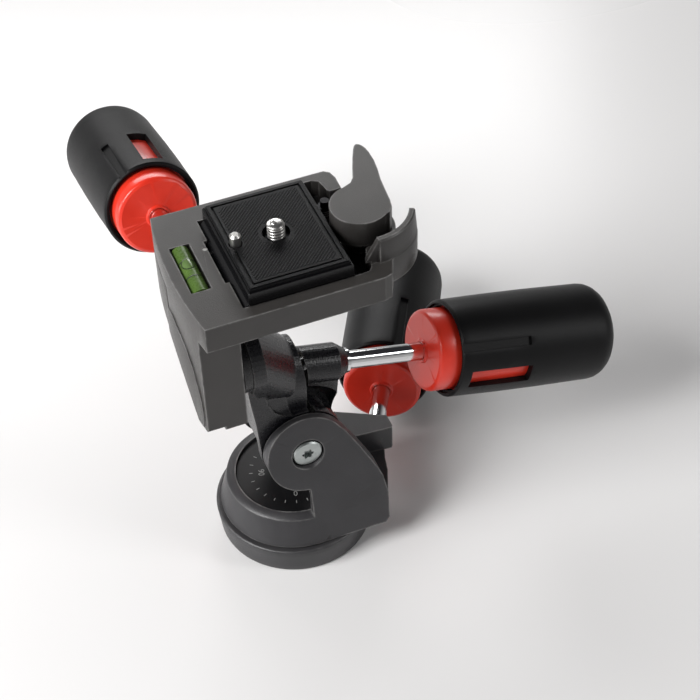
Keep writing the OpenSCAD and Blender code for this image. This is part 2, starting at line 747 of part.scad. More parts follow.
module seat_cut() {
    translate([0, seat_far, 0]) rotate([90, 0, 0]) linear_extrude(height = seat_far - seat_near) polygon([
        [-jaw_x, top_z + cut], [-jaw_x, top_z - 0.9],
        [-foot_half - plate_gap, seat_z + foot_t + plate_gap], [-foot_half - plate_gap, seat_z],
        [well_x + 3, seat_z], [well_x + 3, top_z + cut]
    ]);
    // drop-in notch in the fixed jaw
    translate([-foot_half - 0.6, notch_near, seat_z]) cube([6, notch_l, seat_depth + cut]);
}

module side_lock_frame() {
    translate([side_lock_x, side_lock_y, deck_z - side_lock_drop])
        rotate([-(90 + side_lock_droop), 0, 0]) children();
}

side_slit_y = 8;                           // place of the limb's clamp cut
side_slit_w = 1.4;
function side_back(y) = (side_lock_y - y) / cos(side_lock_droop);

vial_x = -31.2;
vial_y = 2.5;
vial_z = top_z - vial_r + 0.4;
trigger_x = 24.5;
trigger_y = plate_y + plate_l / 2 - 6.6;   // near the plate's far corner
trigger_r = 1.6;
stop_x = -foot_half - 1.3;
stop_y = notch_near + notch_l - 4;

module top_body() {
    color([0.30, 0.30, 0.31]) difference() {
        union() {
            // platform
            translate([0, 0, deck_z]) linear_extrude(height = deck_t) deck_plan();
            // guard round the lever, drafted outside, and the ramp it starts with
            intersection() {
                translate([lever_x, lever_y, top_z - cut]) rotate_extrude() polygon([
                    [guard_r, 0], [guard_r + guard_t, 0], [guard_r + guard_t - 0.9, guard_h + cut - 0.6],
                    [guard_r + guard_t - 1.4, guard_h + cut], [guard_r, guard_h + cut]
                ]);
                linear_extrude(height = 2 * top_z) guard_sector(guard_r + guard_t, 0);
            }
            hull() {
                translate([lever_x, lever_y, top_z - cut]) rotate(guard_a0)
                    translate([guard_r, -0.1, 0]) cube([guard_t - 1, 0.2, guard_h + cut]);
                translate([lever_x, lever_y, top_z - cut]) rotate(guard_a0 - 16)
                    translate([guard_r, -0.1, 0]) cube([guard_t, 0.2, cut + 0.1]);
            }
            // limb, in two layers with a stepped foot
            intersection() {
                translate([limb_out_x, 0, tilt_z]) rotate([90, 0, 90])
                    linear_extrude(height = limb_t / 2 + cut) limb_plan(limb_step);
                limb_skin(0);
            }
            translate([limb_out_x + limb_t / 2, 0, tilt_z]) rotate([90, 0, 90])
                linear_extrude(height = limb_t / 2) limb_plan(0);
            // side lock ear
            side_lock_frame() translate([0, 0, -14]) cylinder(r = side_ear_r, h = 14);
            side_lock_frame() translate([-side_ear_r, -side_ear_r - 6, -14])
                cube([side_ear_r * 1.2, side_ear_r + 6, 12]);
        }
        seat_cut();
        // lever well, open towards the plate and out at the right behind the lever
        translate([0, 0, well_floor]) linear_extrude(height = well_depth + cut) polygon([
            [well_x, seat_near + 1], [well_x, deck_far - 3.3], [24, deck_far - 3.3], [26.4, deck_far - 4.8],
            [27, 25], [27.3, 22.7], [28, 21.8], [60, 21.8], [60, 13], [lever_x + 3, 9],
            [lever_x, -10.4], [28, -12.2], [26.8, -15.3], [26.8, -19], [26.3, -21.4], [24.9, seat_near + 0.3],
            [22, seat_near]
        ]);
        translate([lever_x, lever_y, well_floor]) cylinder(r = lever_r - 1.2, h = well_depth + cut);
        translate([lever_x, lever_y, top_z]) cylinder(r = guard_r, h = 3);
        // side tilt spindle: bore, recess for the retaining washer
        translate([limb_x + cut, side_y, side_z]) rotate([0, -90, 0])
            cylinder(r = spindle_r + run_gap, h = limb_t + 2 * cut);
        translate([limb_out_x - cut, side_y, side_z]) rotate([0, 90, 0])
            cylinder(r = retainer_r + 0.5, h = spindle_end_x - limb_out_x + cut + slip);
        // seat for the cover
        difference() {
            translate([limb_out_x - 5, 0, tilt_z]) rotate([90, 0, 90])
                linear_extrude(height = limb_t) cover_plan();
            limb_skin(-cover_sink);
        }
        // clamp cut: up from the spindle's bore, then out under the platform
        translate([limb_out_x - cut, side_slit_y, side_z]) cube([limb_t + 12, side_slit_w, deck_z - side_z]);
        translate([limb_out_x - cut, side_slit_y, deck_z - side_slit_w]) cube([limb_t + 12, 60, side_slit_w]);
        translate([limb_out_x - cut, side_y, side_z - side_slit_w / 2])
            cube([limb_t + 2 * cut, side_slit_y - side_y + side_slit_w, side_slit_w]);
        // side lock screw and its insert
        side_lock_frame() translate([0, 0, -side_back(side_slit_y) - lock_insert_l - 4])
            cylinder(r = thread_r + 0.2, h = side_back(side_slit_y) + lock_insert_l + 4 + cut);
        side_lock_frame() translate([0, 0, -side_back(side_slit_y) - lock_insert_l])
            cylinder(r = lock_insert_r, h = lock_insert_l + 2);
        // level slot
        translate([vial_x - vial_r - 0.15, vial_y - vial_l / 2 - 0.4, vial_z - vial_r - 0.2])
            cube([2 * vial_r + 0.3, vial_l + 0.8, 2 * vial_r + 2]);
        // holes for the lever's screw, the stop pin and the trigger pin
        translate([lever_x, lever_y, deck_z - cut]) cylinder(r = lever_screw_r + run_gap, h = deck_t + 2 * cut);
        translate([lever_x, lever_y, deck_z - cut]) cylinder(r = 4.1, h = 1.4 + cut);
        translate([stop_x, stop_y, seat_z]) cylinder(r = 0.9, h = seat_depth + cut);
        translate([trigger_x, trigger_y, well_floor - 2.6]) cylinder(r = trigger_r + run_gap, h = 3.6);
    }
}

lever_screw_r = 2;

module limb_cover() {
    color([0.40, 0.40, 0.41]) intersection() {
        translate([limb_out_x - 5, 0, tilt_z]) rotate([90, 0, 90])
            linear_extrude(height = limb_t) cover_plan();
        difference() {
            limb_skin(cover_t);
            limb_skin(-cover_sink);
        }
    }
}

// Outline of the cover plate on the limb (Y, height over the tilt axis)
cover_sink = 0.8;                          // how deep the cover lies in the limb
module cover_plan() {
    span = deck_rise - side_rise;          // limb between the side tilt axis and the platform
    r = limb_round - limb_step - 0.8;      // its rounded foot
    polygon(concat([
        [limb_near + 1.8, limb_foot + 7], [limb_near + 2, side_rise - 4], [limb_near + 2.9, side_rise + 0.02 * span],
        [limb_near + 4.9, side_rise + 0.19 * span], [limb_near + 7.5, side_rise + 0.39 * span],
        [limb_near + 11.7, side_rise + 0.54 * span], [limb_near + 17.3, side_rise + 0.64 * span],
        [limb_near + 24.7, side_rise + 0.72 * span], [limb_near + 30.5, side_rise + 0.68 * span],
        [limb_near + 33.6, side_rise + 0.53 * span], [limb_near + 33.6, side_rise + 0.3 * span]
    ], [for (a = [0 : -6 : -90]) [side_y + r * cos(a), side_rise + r * sin(a)]],
        [[limb_near + 3, side_rise - r]]));
}

module side_lock_insert() {
    side_lock_frame() translate([0, 0, -side_back(side_slit_y) - lock_insert_l]) lock_insert();
}

module level_vial() {
    color([0.50, 0.70, 0.25]) translate([vial_x, vial_y + vial_l / 2, vial_z]) rotate([90, 0, 0])
        cylinder(r = vial_r, h = vial_l);
}

module stop_pin() {
    color([0.80, 0.80, 0.80]) translate([stop_x, stop_y, seat_z]) cylinder(r = 0.9, h = seat_depth - 0.2);
}

// ---- Release lever ----

lever_z = top_z + slip + 0.4;              // lever's underside
// outline of the lever's blade, from its pivot: near side first, then out to the tip
lever_plan = [
    [1, -lever_r + 0.6], [8, -8], [9.8, -5.6], [10.6, -2], [11.2, 3.4], [12, 9.8],
    [13.2, lever_reach - 16], [13.9, lever_reach - 11], [14, lever_reach - 6], [13.7, lever_reach - 3.3],
    [13.1, lever_reach - 1.5], [12.3, lever_reach - 0.4], [11.4, lever_reach], [10.4, lever_reach - 0.7],
    [9.3, lever_reach - 2.6], [7.3, lever_reach - 7], [5.2, lever_reach - 12], [3.4, 14.4], [1.5, 12],
    [-1.8, 10.6]
];

module lever() {
    color([0.28, 0.28, 0.30]) difference() {
        union() {
            translate([lever_x, lever_y, lever_z]) linear_extrude(height = lever_t) union() {
                polygon(lever_plan);
                circle(r = lever_r - 0.3);
            }
            // boss in the well, with the cam that holds the plate's foot
            translate([lever_x, lever_y, well_floor + slip + 0.8])
                cylinder(r = hub_low_r, h = lever_z - well_floor);
            translate([lever_x, lever_y, seat_z + foot_t + 0.6])
                cylinder(r = lever_x - foot_half + 0.3, h = cam_h - 1.2);
        }
        translate([lever_x, lever_y, deck_z]) cylinder(r = lever_screw_r, h = deck_t + 5);
    }
}

module lever_pivot_screw() {
    color([0.35, 0.35, 0.36]) translate([lever_x, lever_y, 0]) difference() {
        union() {
            translate([0, 0, deck_z + 0.1]) cylinder(r = 3.8, h = 1.3);
            translate([0, 0, deck_z + 0.6]) cylinder(r = lever_screw_r, h = deck_t + 3.8);
        }
        translate([0, 0, deck_z - cut]) cylinder(r = 1.2, h = cut + 0.9, $fn = 6);
    }
}

// ---- Plate ----

plate_top = pad_z - pad_t;
camera_y = 0.5;                            // camera screw, from the plate's centre
plate_low = seat_z + slip;

module qr_plate() {
    color([0.07, 0.07, 0.08]) difference() {
        translate([0, plate_y + plate_l / 2, 0]) rotate([90, 0, 0]) linear_extrude(height = plate_l) polygon([
            [-foot_half, plate_low], [-foot_half, plate_low + foot_t], [-plate_half, top_z + 0.7],
            [-plate_half, plate_top - 0.4], [-plate_half + 0.4, plate_top],
            [plate_half - 0.4, plate_top], [plate_half, plate_top - 0.4],
            [plate_half, top_z + 0.7], [foot_half, plate_low + foot_t], [foot_half, plate_low]
        ]);
        // ends cut back below the platform's top so that they drop into the seat
        for (s = [-1, 1]) translate([-60, plate_y + s * (plate_l / 2 + 20 - plate_cut) - 20, seat_z - cut])
            cube([120, 40, seat_depth + cut + 0.5]);
        // camera screw: head pocket below, close hole above
        translate([0, camera_y, plate_low - cut]) cylinder(r = camera_head_r + 0.4, h = screw_pocket + cut);
        translate([0, camera_y, plate_low]) cylinder(r = camera_r + run_gap, h = 20);
        // anti-twist pin: guide above, spring pocket below
        translate([-video_pin_off, camera_y, plate_low - cut]) cylinder(r = video_pin_r + 0.9, h = pin_pocket + cut);
        translate([-video_pin_off, camera_y, plate_low]) cylinder(r = video_pin_r + run_gap, h = 20);
        // slot for the screw's clip, open under the pad
        translate([0, camera_y, plate_top - 1.2]) cylinder(r = clip_r + 0.3, h = 3);
    }
}

screw_pocket = 3.4;                        // depth of the camera screw's head pocket
pin_pocket = 7.5;                          // depth of the anti-twist pin's spring pocket
clip_r = 4.5;
camera_neck_r = camera_r - 0.5;            // necked part of the camera screw, under its thread
pad_near = plate_y - plate_l / 2 + 1.2;

module rubber_pad() {
    color([0.06, 0.06, 0.06]) translate([0, plate_y, plate_top]) difference() {
        union() {
            translate([-plate_half + 0.8, -plate_l / 2 + 0.8, 0]) cube([plate_w - 1.6, plate_l - 1.6, pad_t - 0.5]);
            translate([-plate_half + 1.2, -plate_l / 2 + 1.2, 0]) cube([plate_w - 2.4, plate_l - 2.4, pad_t]);
        }
        // border groove
        translate([0, 0, pad_t - 0.6]) difference() {
            translate([-plate_half + 2.4, -plate_l / 2 + 2.4, 0]) cube([plate_w - 4.8, plate_l - 4.8, 2]);
            translate([-plate_half + 3.2, -plate_l / 2 + 3.2, -cut]) cube([plate_w - 6.4, plate_l - 6.4, 5]);
        }
        translate([0, camera_y - plate_y, -cut]) cylinder(r = clip_r + 0.4, h = pad_t + 2 * cut);
        translate([-video_pin_off, camera_y - plate_y, -cut]) cylinder(r = video_pin_r + 0.5, h = pad_t + 2 * cut);
    }
}

module camera_screw() {
    color([0.80, 0.79, 0.76]) translate([0, camera_y, 0]) difference() {
        union() {
            translate([0, 0, plate_low + 0.3]) cylinder(r = camera_head_r, h = screw_pocket - 0.4);
            translate([0, 0, plate_low + 0.3]) cylinder(r = camera_neck_r, h = pad_z - plate_low);
            translate([0, 0, pad_z]) cylinder(r = camera_r, h = camera_proud - 0.6);
            translate([0, 0, pad_z + camera_proud - 0.6]) rotate_extrude() polygon([
                [0, 0], [camera_r, 0], [camera_r - 0.6, 0.6], [0, 0.6]
            ]);
        }
        // coin slot in the head
        translate([-camera_head_r - cut, -0.8, plate_low - cut]) cube([2 * camera_head_r + 2 * cut, 1.6, 1.3 + cut]);
    }
}

module screw_clip() {
    color([0.72, 0.73, 0.74]) translate([0, camera_y, plate_top - 1.2]) difference() {
        cylinder(r = clip_r, h = 0.8);
        translate([0, 0, -cut]) cylinder(r = camera_neck_r + run_gap, h = 3);
    }
}

module video_pin() {
    color([0.80, 0.79, 0.77]) translate([-video_pin_off, camera_y, 0]) {
        translate([0, 0, plate_low + pin_pocket - 1.2]) cylinder(r = video_pin_r + 0.7, h = 1.1);
        translate([0, 0, plate_low + pin_pocket - 0.5])
            cylinder(r = video_pin_r, h = pad_z + video_pin_proud - 0.8 - plate_low - pin_pocket + 0.5);
        translate([0, 0, pad_z + video_pin_proud - 0.8]) rotate_extrude() polygon([
            [0, 0], [video_pin_r, 0], [video_pin_r - 0.8, 0.8], [0, 0.8]
        ]);
    }
}

// A compression spring: a round wire wound as one unbroken helix with a rule for its points
module spring(r, wire, len, turns, steps = 16, sides = 6) {
    n = turns * steps;
    pts = [for (i = [0 : n]) let (a = 360 * i / steps, z = wire + (len - 2 * wire) * i / n)
        for (j = [0 : sides - 1]) let (b = 360 * j / sides)
            [(r + wire * cos(b)) * cos(a), (r + wire * cos(b)) * sin(a), z + wire * sin(b)]];
    faces = concat(
        [for (i = [0 : n - 1]) for (j = [0 : sides - 1]) let (k = (j + 1) % sides)
            [i * sides + j, i * sides + k, (i + 1) * sides + k]],
        [for (i = [0 : n - 1]) for (j = [0 : sides - 1]) let (k = (j + 1) % sides)
            [i * sides + j, (i + 1) * sides + k, (i + 1) * sides + j]],
        [for (j = [1 : sides - 2]) [0, j + 1, j]],
        [for (j = [1 : sides - 2]) [n * sides, n * sides + j, n * sides + j + 1]]
    );
    polyhedron(points = pts, faces = faces);
}

module pin_spring() {
    color([0.75, 0.75, 0.75]) translate([-video_pin_off, camera_y, plate_low])
        spring(video_pin_r + 0.2, 0.25, pin_pocket - 1.2, 4);
}

module trigger_pin() {
    color([0.80, 0.62, 0.25]) translate([trigger_x, trigger_y, 0]) {
        translate([0, 0, well_floor - 0.4]) cylinder(r = trigger_r, h = well_depth + 0.2);
        translate([0, 0, well_floor + 3.4]) cylinder(r = trigger_r + 1, h = 1);
    }
}

module trigger_spring() {
    color([0.75, 0.75, 0.75]) translate([trigger_x, trigger_y, well_floor])
        spring(trigger_r + 0.5, 0.25, 3.4, 3);
}

module lever_spring() {
    color([0.70, 0.70, 0.70]) translate([lever_x, lever_y, well_floor + 0.02])
        spring(lever_screw_r + 3.2, 0.35, 0.72, 1);
}

// ---- Lock handles, built along +Z from the face their screw goes into ----

guide_l = 18;                              // length of the hub's guide on the rod
stop_t = 4;
stop_r = 6;

module handle_shaft(reach, screw_l) {
    color([0.82, 0.83, 0.85]) {
        translate([0, 0, -screw_l]) cylinder(r = thread_r, h = screw_l + collar_t);
        rotate_extrude() polygon([
            [0, collar_t], [rod_r - 0.4, collar_t], [rod_r, collar_t + 0.4],
            [rod_r, reach + guide_l + slip + stop_t + 1], [0, reach + guide_l + slip + stop_t + 1]
        ]);
    }
}

module handle_stop(reach) {
    color([0.55, 0.56, 0.57]) translate([0, 0, reach + guide_l + slip]) difference() {
        cylinder(r = stop_r, h = stop_t, $fn = 6);
        translate([0, 0, -cut]) cylinder(r = rod_r, h = stop_t + 2 * cut);
    }
}

grip_in_r = grip_r - grip_wall;            // bore of the grip
core_l = core_proud + grip_l - 8;

module handle_core(reach) {
    color([0.85, 0.10, 0.06]) translate([0, 0, reach]) difference() {
        union() {
            rotate_extrude() polygon([
                [0, -0.8], [rod_r + 1, -0.8], [rod_r + 1.2, 0], [core_r - 1.6, 0], [core_r - 0.5, 0.5], [core_r, 1.6],
                [core_r, core_proud + 3.4], [core_r - 0.5, core_proud + 4.6], [0, core_proud + 4.6]
            ]);
            translate([0, 0, core_proud + 4]) cylinder(r = grip_in_r - run_gap, h = core_l - core_proud - 4);
        }
        translate([0, 0, -2]) cylinder(r = rod_r + run_gap, h = guide_l + 4);
        translate([0, 0, guide_l]) cylinder(r = grip_in_r - 3, h = core_l);
    }
}

module handle_grip(reach) {
    full_z = grip_l * 0.55;                // where the grip is fullest
    color([0.05, 0.05, 0.05]) translate([0, 0, reach + core_proud]) difference() {
        rotate_extrude() polygon(concat(
            [[0, grip_l], [0, 0], [grip_r - 0.8, 0], [grip_r, 0.8],
             [grip_r + grip_swell * 0.75, full_z * 0.5], [grip_r + grip_swell, full_z],
             [grip_r + grip_swell * 0.6, grip_l - grip_round]],
            [for (a = [15 : 15 : 90]) [grip_r + grip_swell * 0.6 - grip_round + grip_round * cos(a),
                grip_l - grip_round + grip_round * sin(a)]]
        ));
        translate([0, 0, -cut]) cylinder(r = grip_in_r, h = grip_l - 6 + cut);
        translate([0, 0, -cut]) cylinder(r = grip_in_r + 0.9, h = 1.6 + cut);
        // windows that show the red hub's sleeve, and thumb grooves beside them
        for (a = [0, 180]) rotate(a) {
            translate([grip_in_r - 2, -window_w / 2, window_start]) cube([8, window_w, window_l]);
            rotate(-42) translate([grip_r + grip_swell - 1.1, -1.7, -cut]) cube([8, 3.4, 29.5 + cut]);
        }
    }
}

tilt_screw_l = tilt_back(arm_slit_x) + lock_insert_l + 2;
side_screw_l = side_back(side_slit_y) + lock_insert_l + 2;

// turn of each grip's window about its rod
pan_turn = 60;
tilt_turn = -88;
side_turn = -75;

module pan_lock_collar() { pan_lock_frame() lock_collar(); }
module pan_shaft() { pan_lock_frame() handle_shaft(free_rod_pan, lock_thread_pan); }
module pan_stop() { pan_lock_frame() handle_stop(free_rod_pan); }
module pan_core() { pan_lock_frame() handle_core(free_rod_pan); }
module pan_grip() { pan_lock_frame() rotate(pan_turn) handle_grip(free_rod_pan); }

module tilt_lock_collar() { tilt_lock_frame() lock_collar(); }
module tilt_shaft() { tilt_lock_frame() handle_shaft(free_rod, tilt_screw_l); }
module tilt_stop() { tilt_lock_frame() handle_stop(free_rod); }
module tilt_core() { tilt_lock_frame() handle_core(free_rod); }
module tilt_grip() { tilt_lock_frame() rotate(tilt_turn) handle_grip(free_rod); }

module side_lock_collar() { side_lock_frame() lock_collar(); }
module side_shaft() { side_lock_frame() handle_shaft(free_rod, side_screw_l); }
module side_stop() { side_lock_frame() handle_stop(free_rod); }
module side_core() { side_lock_frame() handle_core(free_rod); }
module side_grip() { side_lock_frame() rotate(side_turn) handle_grip(free_rod); }

base_disc();
thread_bushing();
base_screws();
pan_column();
dial_plate();
pan_washer();
pan_body();
tilt_axle();
tilt_bolt();
tilt_nut();
tilt_washers();
pan_lock_collar();
pan_lock_shoe();
arm();
tilt_lock_insert();
tilt_lock_collar();
side_washer();
side_retainer();
side_retainer_screw();
top_body();
limb_cover();
side_lock_insert();
side_lock_collar();
level_vial();
stop_pin();
lever();
lever_pivot_screw();
lever_spring();
trigger_pin();
trigger_spring();
qr_plate();
rubber_pad();
camera_screw();
screw_clip();
video_pin();
pin_spring();
pan_shaft();
pan_stop();
pan_core();
pan_grip();
tilt_shaft();
tilt_stop();
tilt_core();
tilt_grip();
side_shaft();
side_stop();
side_core();
side_grip();
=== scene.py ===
import math

import bmesh
import bpy
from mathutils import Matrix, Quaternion, Vector


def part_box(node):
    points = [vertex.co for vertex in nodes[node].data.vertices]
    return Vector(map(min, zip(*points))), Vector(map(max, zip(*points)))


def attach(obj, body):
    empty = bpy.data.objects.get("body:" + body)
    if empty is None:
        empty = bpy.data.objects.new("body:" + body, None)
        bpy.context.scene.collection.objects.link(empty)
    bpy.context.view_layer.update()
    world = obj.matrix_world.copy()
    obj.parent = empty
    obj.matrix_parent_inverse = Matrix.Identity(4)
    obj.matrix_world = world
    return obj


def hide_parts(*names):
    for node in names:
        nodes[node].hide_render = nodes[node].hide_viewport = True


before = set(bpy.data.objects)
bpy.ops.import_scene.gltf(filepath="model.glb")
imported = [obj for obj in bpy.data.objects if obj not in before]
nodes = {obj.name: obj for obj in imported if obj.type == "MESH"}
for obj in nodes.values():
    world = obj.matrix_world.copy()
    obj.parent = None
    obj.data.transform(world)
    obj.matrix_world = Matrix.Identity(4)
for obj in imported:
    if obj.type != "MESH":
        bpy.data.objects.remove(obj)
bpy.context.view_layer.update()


# ---- Table and studio ----
# The head stands on a white, slightly glossy table under a wide soft box on the left and a
# weaker one on the right, with a low strip on the left and another lamp behind. The room is pale
# near the table and dark overhead.

MM = 0.001


def new_material(name):
    """A fresh node material with its Principled BSDF."""
    material = bpy.data.materials.new(name)
    material.use_nodes = True
    tree = material.node_tree
    return material, tree, tree.nodes["Principled BSDF"]


def mesh_piece(name, bm, material, smooth=True):
    """An object made from a bmesh, which is freed."""
    mesh = bpy.data.meshes.new(name)
    bm.normal_update()
    bm.to_mesh(mesh)
    bm.free()
    piece = bpy.data.objects.new(name, mesh)
    bpy.context.scene.collection.objects.link(piece)
    for face in mesh.polygons:
        face.use_smooth = smooth
    mesh.materials.append(material)
    return piece


table_half = 4.0
table_mat, tree, shader = new_material("white table top")
shader.inputs["Base Color"].default_value = (0.80, 0.79, 0.785, 1)
haze = tree.nodes.new("ShaderNodeTexNoise")
haze.inputs["Scale"].default_value = 9
haze_range = tree.nodes.new("ShaderNodeMapRange")
haze_range.inputs["To Min"].default_value = 0.22
haze_range.inputs["To Max"].default_value = 0.34
tree.links.new(haze.outputs["Fac"], haze_range.inputs["Value"])
tree.links.new(haze_range.outputs["Result"], shader.inputs["Roughness"])
bm = bmesh.new()
bmesh.ops.create_grid(bm, x_segments=1, y_segments=1, size=table_half)
mesh_piece("table", bm, table_mat)

world = bpy.data.worlds.new("studio room")
bpy.context.scene.world = world
world.use_nodes = True
tree = world.node_tree
backdrop = tree.nodes["Background"]
direction = tree.nodes.new("ShaderNodeTexCoord")
height = tree.nodes.new("ShaderNodeSeparateXYZ")
overhead = tree.nodes.new("ShaderNodeValToRGB")
overhead.color_ramp.elements[0].position = 0.05
overhead.color_ramp.elements[0].color = (0.95, 0.94, 0.93, 1)
overhead.color_ramp.elements[1].position = 0.55
overhead.color_ramp.elements[1].color = (0.05, 0.05, 0.055, 1)
seen = tree.nodes.new("ShaderNodeLightPath")
plain_white = tree.nodes.new("ShaderNodeMixRGB")
plain_white.inputs["Color2"].default_value = (0.93, 0.92, 0.91, 1)
tree.links.new(direction.outputs["Generated"], height.inputs[0])
tree.links.new(height.outputs["Z"], overhead.inputs["Fac"])
tree.links.new(seen.outputs["Is Camera Ray"], plain_white.inputs["Fac"])
tree.links.new(overhead.outputs["Color"], plain_white.inputs["Color1"])
tree.links.new(plain_white.outputs["Color"], backdrop.inputs["Color"])
backdrop.inputs["Strength"].default_value = 0.55


def soft_box(name, place, aim, size, watts):
    """A rectangular soft box that points at a spot on the head."""
    lamp = bpy.data.lights.new(name, "AREA")
    lamp.shape = "RECTANGLE"
    lamp.size, lamp.size_y = size
    lamp.energy = watts
    holder = bpy.data.objects.new(name, lamp)
    bpy.context.scene.collection.objects.link(holder)
    holder.location = place
    holder.rotation_euler = (Vector(aim) - Vector(place)).to_track_quat("-Z", "Y").to_euler()


soft_box("key soft box", (-0.75, -0.15, 0.75), (0, 0, 0.08), (0.45, 0.45), 12.0)
soft_box("fill soft box", (0.8, -0.55, 0.6), (0, 0, 0.08), (0.3, 0.6), 3.0)
soft_box("low side strip", (-0.95, 0.15, 0.22), (0, 0, 0.1), (0.7, 0.25), 3.0)
soft_box("back soft box", (0.15, 0.9, 0.55), (0, 0, 0.1), (0.9, 0.25), 5.0)

# Camera: looks down on the near left of the head, a little rolled
camera_place = (-0.1391, -0.4320, 0.5414)
camera_aim = (0.2527, 0.6627, -0.7050)
camera_roll = -1.82
camera_data = bpy.data.cameras.new("camera")
camera_data.lens = 89.52
camera_data.sensor_width = 36
camera = bpy.data.objects.new("camera", camera_data)
bpy.context.scene.collection.objects.link(camera)
camera.location = camera_place
camera.rotation_mode = "QUATERNION"
camera.rotation_quaternion = (Vector(camera_aim).to_track_quat("-Z", "Y")
                              @ Quaternion((0, 0, 1), math.radians(camera_roll)))
bpy.context.scene.camera = camera
bpy.context.scene.view_settings.view_transform = "Standard"


# ---- Foot ----
# A turned aluminium disc in grey powder paint stands on the tripod. A steel bush in it takes
# the tripod's screw, and three black socket screws hold the foot to the post above.

def new_group(name, inputs, outputs):
    """An empty shader node group with named sockets. A socket is (name, kind, start value)."""
    group = bpy.data.node_groups.new(name, "ShaderNodeTree")
    for label, kind, start in inputs:
        socket = group.interface.new_socket(label, in_out="INPUT", socket_type="NodeSocket" + kind)
        if start is not None:
            socket.default_value = start
    for label, kind in outputs:
        group.interface.new_socket(label, in_out="OUTPUT", socket_type="NodeSocket" + kind)
    return group, group.nodes.new("NodeGroupInput"), group.nodes.new("NodeGroupOutput")


def add(tree, kind, links=(), **values):
    """A shader node with some inputs set, and links given as (input name, output socket)."""
    node = tree.nodes.new("ShaderNode" + kind)
    for label, value in values.items():
        node.inputs[label.replace("_", " ")].default_value = value
    for label, socket in links:
        tree.links.new(socket, node.inputs[label])
    return node


def math_node(tree, operation, first, second, clamp=False):
    """A Math node on two sockets or numbers."""
    node = tree.nodes.new("ShaderNodeMath")
    node.operation = operation
    node.use_clamp = clamp
    for index, value in enumerate((first, second)):
        if isinstance(value, (int, float)):
            node.inputs[index].default_value = value
        else:
            tree.links.new(value, node.inputs[index])
    return node.outputs[0]


def blend_colours(tree, amount, low, high):
    """A colour between two, by a socket."""
    node = tree.nodes.new("ShaderNodeMixRGB")
    tree.links.new(amount, node.inputs["Fac"])
    for label, value in (("Color1", low), ("Color2", high)):
        if isinstance(value, tuple):
            node.inputs[label].default_value = (*value, 1)
        else:
            tree.links.new(value, node.inputs[label])
    return node.outputs["Color"]


def spread(tree, value, low, high):
    """A 0 to 1 socket spread between two numbers."""
    node = add(tree, "MapRange", [("Value", value)], To_Min=low, To_Max=high)
    return node.outputs["Result"]


# Grain of a surface: fine speckle and broad blotches, both from their size in metres
grain_group, entry, leave = new_group(
    "surface grain",
    [("Position", "Vector", None), ("Speckle Size", "Float", 0.0004),
     ("Blotch Size", "Float", 0.02)],
    [("Speckle", "Float"), ("Blotch", "Float")])
for label, size_label, detail in (("Speckle", "Speckle Size", 4.0), ("Blotch", "Blotch Size", 3.0)):
    per_metre = math_node(grain_group, "DIVIDE", 1.0, entry.outputs[size_label])
    noise = add(grain_group, "TexNoise",
                [("Vector", entry.outputs["Position"]), ("Scale", per_metre)], Detail=detail)
    evened = add(grain_group, "MapRange", [("Value", noise.outputs["Fac"])],
                 From_Min=0.28, From_Max=0.72)
    grain_group.links.new(evened.outputs["Result"], leave.inputs[label])

# Dust that settles on what faces up, in a patchy film
dust_group, entry, leave = new_group(
    "settled dust",
    [("Position", "Vector", None), ("Patch Size", "Float", 0.012)],
    [("Dust", "Float")])
facing = dust_group.nodes.new("ShaderNodeNewGeometry")
upward = dust_group.nodes.new("ShaderNodeSeparateXYZ")
dust_group.links.new(facing.outputs["Normal"], upward.inputs[0])
level = add(dust_group, "MapRange", [("Value", upward.outputs["Z"])], From_Min=0.5)
patch_scale = math_node(dust_group, "DIVIDE", 1.0, entry.outputs["Patch Size"])
patches = add(dust_group, "TexNoise",
              [("Vector", entry.outputs["Position"]), ("Scale", patch_scale)], Detail=6.0)
film = math_node(dust_group, "MULTIPLY", level.outputs["Result"], patches.outputs["Fac"],
                 clamp=True)
dust_group.links.new(film, leave.inputs["Dust"])

# Scratches and drawing lines: noise pulled out along the local X of the position it is given
lines_group, entry, leave = new_group(
    "drawn lines",
    [("Position", "Vector", None), ("Line Size", "Float", 0.0003)],
    [("Lines", "Float")])
stretched = add(lines_group, "Mapping", [("Vector", entry.outputs["Position"])])
stretched.inputs["Scale"].default_value = (0.03, 1, 1)
line_scale = math_node(lines_group, "DIVIDE", 1.0, entry.outputs["Line Size"])
line_noise = add(lines_group, "TexNoise",
                 [("Vector", stretched.outputs["Vector"]), ("Scale", line_scale)], Detail=2.0)
lines_group.links.new(line_noise.outputs["Fac"], leave.inputs["Lines"])

# Painted highlight on outward edges: a lighter paint where a rounded normal leaves the real one,
# outside of corners
edge_highlight_group, entry, leave = new_group(
    "painted edge highlights",
    [("Position", "Vector", None), ("Radius", "Float", 0.0009)],
    [("Edge", "Float")])
rounded = edge_highlight_group.nodes.new("ShaderNodeBevel")
rounded.samples = 6
edge_highlight_group.links.new(entry.outputs["Radius"], rounded.inputs["Radius"])
real = edge_highlight_group.nodes.new("ShaderNodeNewGeometry")
turned = edge_highlight_group.nodes.new("ShaderNodeVectorMath")
turned.operation = "DISTANCE"
edge_highlight_group.links.new(rounded.outputs["Normal"], turned.inputs[0])
edge_highlight_group.links.new(real.outputs["Normal"], turned.inputs[1])
near_edge = add(edge_highlight_group, "MapRange", [("Value", turned.outputs["Value"])],
                From_Min=0.08, From_Max=0.42)
openness = edge_highlight_group.nodes.new("ShaderNodeAmbientOcclusion")
openness.samples = 4
openness.inputs["Distance"].default_value = 0.0015
outward = add(edge_highlight_group, "MapRange", [("Value", openness.outputs["AO"])],
              From_Min=0.55, From_Max=0.8)
highlight_noise = add(edge_highlight_group, "TexNoise", [("Vector", entry.outputs["Position"])],
          Scale=260.0, Detail=5.0)
edge_highlight_strength = add(edge_highlight_group, "MapRange", [("Value", highlight_noise.outputs["Fac"])], From_Min=0.30, From_Max=0.60)
convex_edge_mask = math_node(edge_highlight_group, "MULTIPLY", near_edge.outputs["Result"], outward.outputs["Result"])
